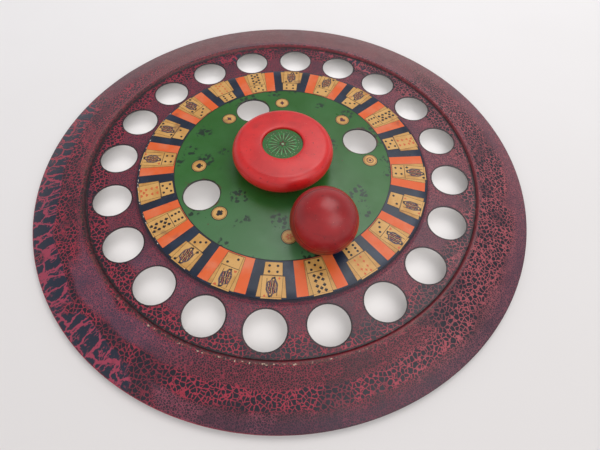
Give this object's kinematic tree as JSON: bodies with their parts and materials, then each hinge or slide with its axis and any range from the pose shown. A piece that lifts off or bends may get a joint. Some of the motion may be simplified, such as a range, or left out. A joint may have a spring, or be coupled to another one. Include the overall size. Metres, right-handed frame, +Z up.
{
  "type": "card and domino roulette wheel",
  "caption": "Flat sheet-metal table roulette wheel with ball holes, printed cards and dominoes, a wooden centre knob and a loose ball.",
  "frame": {"origin": "centre of the foot's underside, on the spindle's axis, at table height", "axes": "+Z up along the spindle; +X through the middle of an outer ball hole; -Y towards the player's side with the ball"},
  "size_m": [0.4572, 0.4572, 0.0724],
  "materials": {
    "felt": "dense green felt",
    "foot_wood": "turned wood, dark varnish",
    "flange_steel": "plain steel",
    "spindle_steel": "ground steel",
    "washer_brass": "worn brass",
    "nut_steel": "plain steel",
    "screw_steel": "plain steel",
    "knob_screw_steel": "plain steel",
    "crackle_paint": "crimson and navy crackle enamel on sheet steel",
    "printed_sheet": "printed and varnished, worn",
    "hub_steel": "blackened steel",
    "bush_brass": "turned brass",
    "red_lacquer": "turned wood, red satin lacquer",
    "label_print": "green print under varnish",
    "ball_lacquer": "turned wood, dark red satin lacquer"
  },
  "bodies": {
    "base": {"base_pad": "felt", "base_foot": "foot_wood", "spindle_flange": "flange_steel", "spindle": "spindle_steel", "flange_screw_1": "screw_steel", "flange_screw_2": "screw_steel", "flange_screw_3": "screw_steel", "flange_screw_4": "screw_steel", "thrust_washer": "washer_brass", "top_washer": "washer_brass", "spindle_nut": "nut_steel"},
    "wheel": {"wheel_pan": "crackle_paint", "printed_face": "printed_sheet", "hub_plate": "hub_steel", "hub_bush": "bush_brass", "knob_screw_1": "knob_screw_steel", "knob_screw_2": "knob_screw_steel", "knob_screw_3": "knob_screw_steel", "knob": "red_lacquer", "knob_label": "label_print"},
    "ball": {"game_ball": "ball_lacquer"}
  },
  "joints": [
    {"name": "wheel_spin", "type": "hinge", "parent": "base", "child": "wheel", "pos_m": [0, 0, 0], "axis": [0, 0, 1], "continuous": true},
    {"name": "ball_lift", "type": "slide", "parent": "wheel", "child": "ball", "axis": [0, 0, 1], "range_m": [0, 0.08]}
  ]
}
